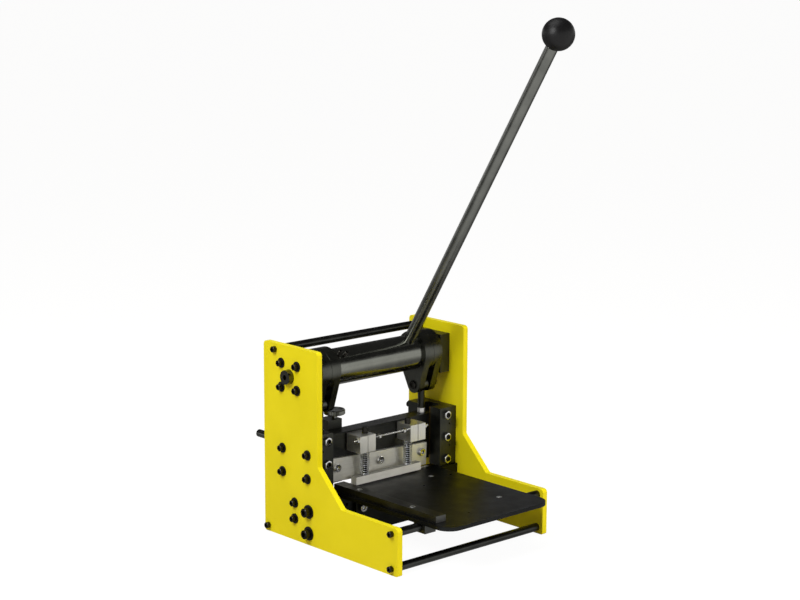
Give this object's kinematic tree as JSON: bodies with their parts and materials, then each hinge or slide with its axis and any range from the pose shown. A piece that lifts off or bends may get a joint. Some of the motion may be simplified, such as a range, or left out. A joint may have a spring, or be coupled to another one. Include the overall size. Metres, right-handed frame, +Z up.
{
  "type": "guillotine shear",
  "caption": "Bench guillotine shear: a long ball-knob lever turns an eccentric shaft whose connecting rods drive a guided ram with a raked blade and sprung hold-down over a table.",
  "frame": {"origin": "on the bench, midway between the side plates and under the middle of the machine's whole depth at rest", "axes": "+X across the machine to the operator's right, +Y to the back, +Z up"},
  "size_m": [0.3372, 0.5595, 0.8066],
  "materials": {
    "yellow_paint": "bright yellow satin paint",
    "black_oxide_rod": "black oxide, satin",
    "black_oxide_screws": "black oxide, semi-gloss",
    "black_oxide_blocks": "black oxide, satin",
    "black_oxide_shaft": "black oxide, satin",
    "black_oxide_ram": "black oxide, satin",
    "black_oxide_table": "black oxide, satin",
    "bronze": "bronze",
    "brass": "milled brass",
    "ground_steel": "ground steel",
    "chrome": "bright plating",
    "grey_screws": "dull grey",
    "white_zinc": "white zinc plating",
    "spring_steel": "bright spring wire",
    "black_ball": "gloss black"
  },
  "bodies": {
    "frame": {"left_side_plate": "yellow_paint", "right_side_plate": "yellow_paint", "tie_rods": "black_oxide_rod", "plate_screws": "black_oxide_screws", "plate_washers": "black_oxide_screws", "left_bearing_block": "black_oxide_blocks", "right_bearing_block": "black_oxide_blocks", "bearing_bushes": "bronze", "left_back_guide": "black_oxide_blocks", "right_back_guide": "black_oxide_blocks", "left_front_guide": "black_oxide_blocks", "right_front_guide": "black_oxide_blocks", "left_gib": "brass", "right_gib": "brass", "gib_screws": "black_oxide_screws", "gib_nuts": "chrome", "back_guide_screws": "black_oxide_screws", "lower_blade": "ground_steel", "lower_blade_screws": "chrome", "bed_beam": "black_oxide_blocks", "bed_screws": "black_oxide_screws", "back_beam": "black_oxide_blocks", "table": "black_oxide_table", "fence": "black_oxide_blocks", "table_screws": "grey_screws", "table_bracket": "black_oxide_blocks", "bracket_screws": "chrome", "tie_rod_saddles": "black_oxide_blocks"},
    "shaft": {"eccentric_shaft": "black_oxide_shaft", "thrust_collars": "black_oxide_shaft", "shaft_set_screws": "black_oxide_screws", "lever": "black_oxide_rod", "ball_knob": "black_ball"},
    "left_rod": {"left_connecting_rod": "black_oxide_shaft", "left_pin_bolt": "black_oxide_screws", "left_pin_nut": "black_oxide_screws"},
    "right_rod": {"right_connecting_rod": "black_oxide_shaft", "right_pin_bolt": "black_oxide_screws", "right_pin_nut": "black_oxide_screws"},
    "ram": {"ram": "black_oxide_ram", "left_push_rod": "black_oxide_shaft", "right_push_rod": "black_oxide_shaft", "push_rod_nuts": "white_zinc", "upper_blade": "ground_steel", "upper_blade_screws": "chrome", "left_hold_down_block": "ground_steel", "right_hold_down_block": "ground_steel", "hold_down_block_screws": "black_oxide_screws", "cross_rod": "chrome", "cross_rod_nuts": "chrome", "gauge_clamp": "black_oxide_blocks", "gauge_clamp_screws": "black_oxide_screws", "left_spring": "spring_steel", "right_spring": "spring_steel"},
    "hold_down": {"hold_down_foot": "ground_steel", "hold_down_rods": "black_oxide_screws"},
    "gauge": {"gauge_rod": "black_oxide_rod", "gauge_stop": "black_oxide_blocks"},
    "thumb": {"thumb_screw": "black_oxide_blocks"}
  },
  "joints": [
    {"name": "lever_turn", "type": "hinge", "parent": "frame", "child": "shaft", "pos_m": [0, 0.0791, 0.2573], "axis": [1, 0, 0], "range_deg": [-20, 75]},
    {"name": "left_rod_turn", "type": "hinge", "parent": "shaft", "child": "left_rod", "pos_m": [-0.107, 0.07087, 0.26205], "axis": [1, 0, 0], "range_deg": [-76, 21]},
    {"name": "right_rod_turn", "type": "hinge", "parent": "shaft", "child": "right_rod", "pos_m": [0.107, 0.07087, 0.26205], "axis": [1, 0, 0], "range_deg": [-76, 21]},
    {"name": "ram_slide", "type": "slide", "parent": "frame", "child": "ram", "axis": [0, 0, -1], "range_m": [-0.0031, 0.0115]},
    {"name": "hold_down_slide", "type": "slide", "parent": "ram", "child": "hold_down", "axis": [0, 0, 1], "range_m": [-0.0026, 0.0095], "deforming": ["left_spring", "right_spring"]},
    {"name": "gauge_slide", "type": "slide", "parent": "ram", "child": "gauge", "axis": [0, 1, 0], "range_m": [0, 0.03]},
    {"name": "thumb_turn", "type": "hinge", "parent": "ram", "child": "thumb", "pos_m": [-0.06, 0.0873, 0.17], "axis": [0, 0, 1], "range_deg": [-180, 180]}
  ],
  "couplings": [
    {"joint": "left_rod_turn", "follows": "lever_turn", "ratio": -1},
    {"joint": "right_rod_turn", "follows": "lever_turn", "ratio": -1},
    {"joint": "ram_slide", "follows": "lever_turn", "m_per_rad": 0.00875},
    {"joint": "hold_down_slide", "follows": "lever_turn", "m_per_rad": 0.0072}
  ]
}
